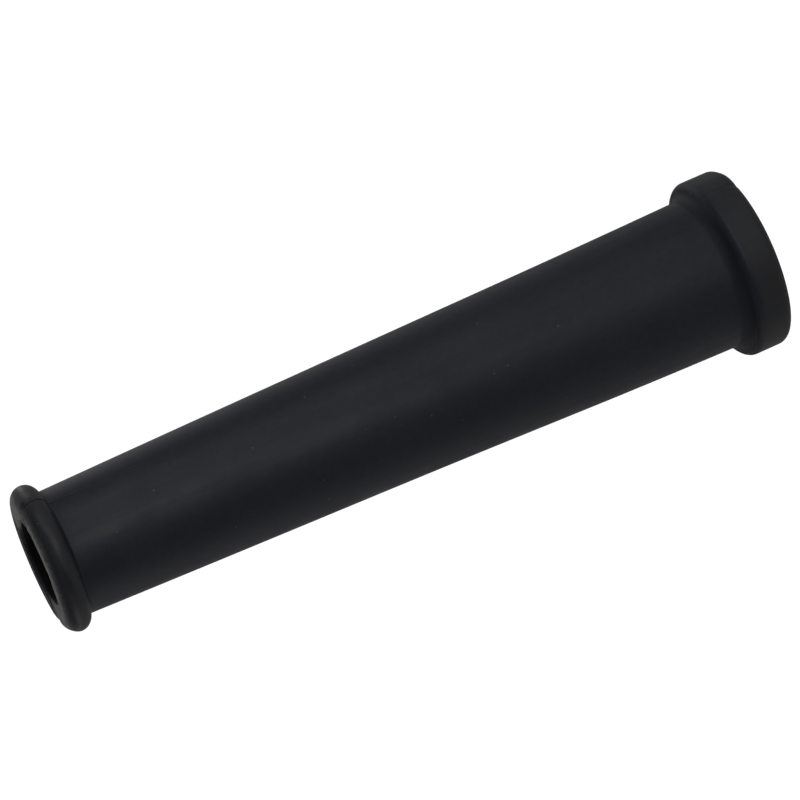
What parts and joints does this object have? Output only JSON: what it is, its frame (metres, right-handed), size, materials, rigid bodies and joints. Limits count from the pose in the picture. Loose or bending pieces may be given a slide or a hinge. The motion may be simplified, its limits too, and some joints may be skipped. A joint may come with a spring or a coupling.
{
  "type": "tapered rubber sleeve",
  "caption": "Tapered rubber guard sleeve, open right through, with a rounded bead at its narrow mouth and a thick collar at its wide end; shields a cord or cable where it bends.",
  "frame": {"origin": "centre of the collar's flat end face, which the sleeve stands on", "axes": "+Z along the bore, from the collar to the mouth; X and Z lie in the mould's parting plane, so the two parting lines run up the +X and -X sides"},
  "size_m": [0.0216, 0.0216, 0.09],
  "materials": {
    "black_rubber": "matt black moulded rubber, slightly bluish, with a faint grey bloom"
  },
  "bodies": {
    "root": {"rubber_sleeve": "black_rubber"}
  },
  "joints": []
}
